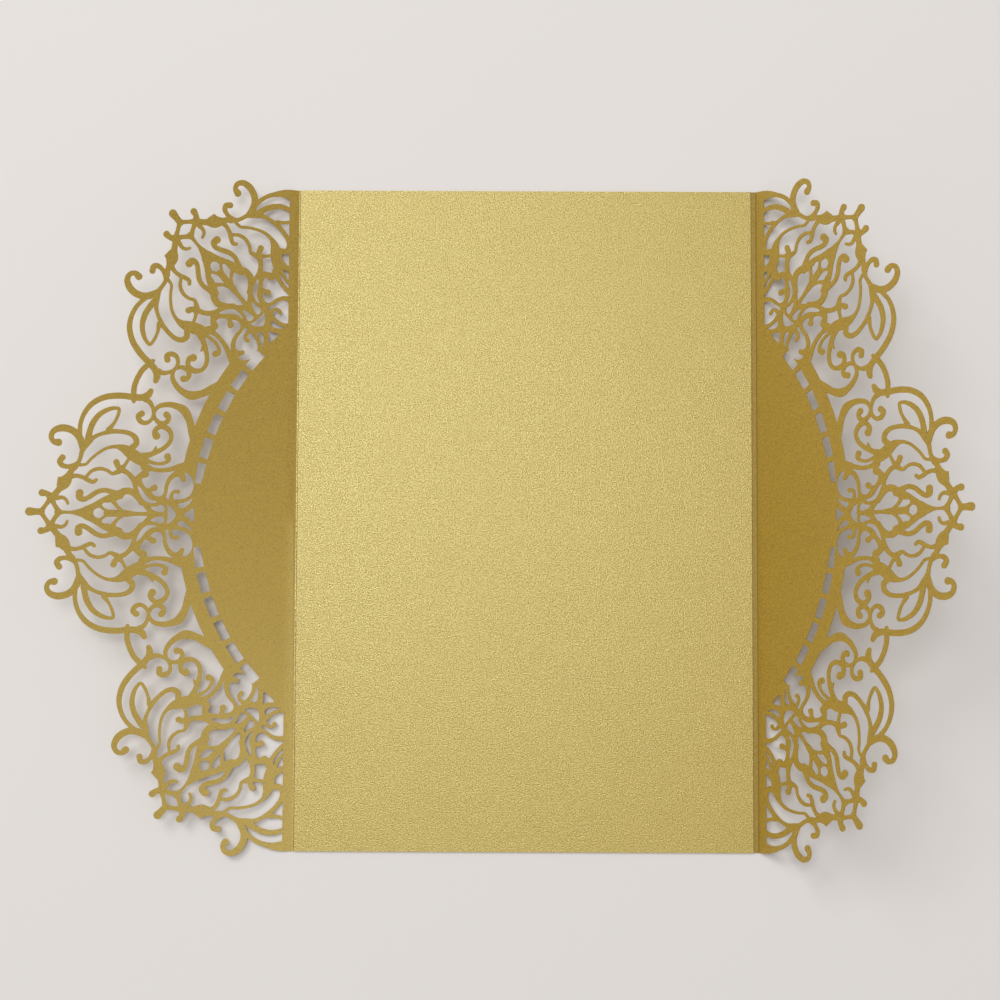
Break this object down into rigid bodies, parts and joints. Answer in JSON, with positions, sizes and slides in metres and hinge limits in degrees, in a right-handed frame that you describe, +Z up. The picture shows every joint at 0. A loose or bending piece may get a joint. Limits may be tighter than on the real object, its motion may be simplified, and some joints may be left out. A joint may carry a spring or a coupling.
{
  "type": "gatefold invitation",
  "caption": "Gatefold invitation of laser-cut shimmer card lying open: plain card mounted on the centre panel, two raised flaps edged with pierced scrollwork lace.",
  "frame": {"origin": "on the underside of the centre panel, below the middle of the mounted card", "axes": "+X across the open sheet towards the steeper flap, +Y up the page, +Z up from the table"},
  "size_m": [0.2483, 0.1874, 0.0566],
  "materials": {
    "jacket_card": "gold shimmer card, satin, smooth",
    "mounted_card": "champagne gold shimmer card with a fine sparkling grain"
  },
  "bodies": {
    "root": {"gatefold_jacket": "jacket_card", "mounted_card": "mounted_card"}
  },
  "joints": []
}
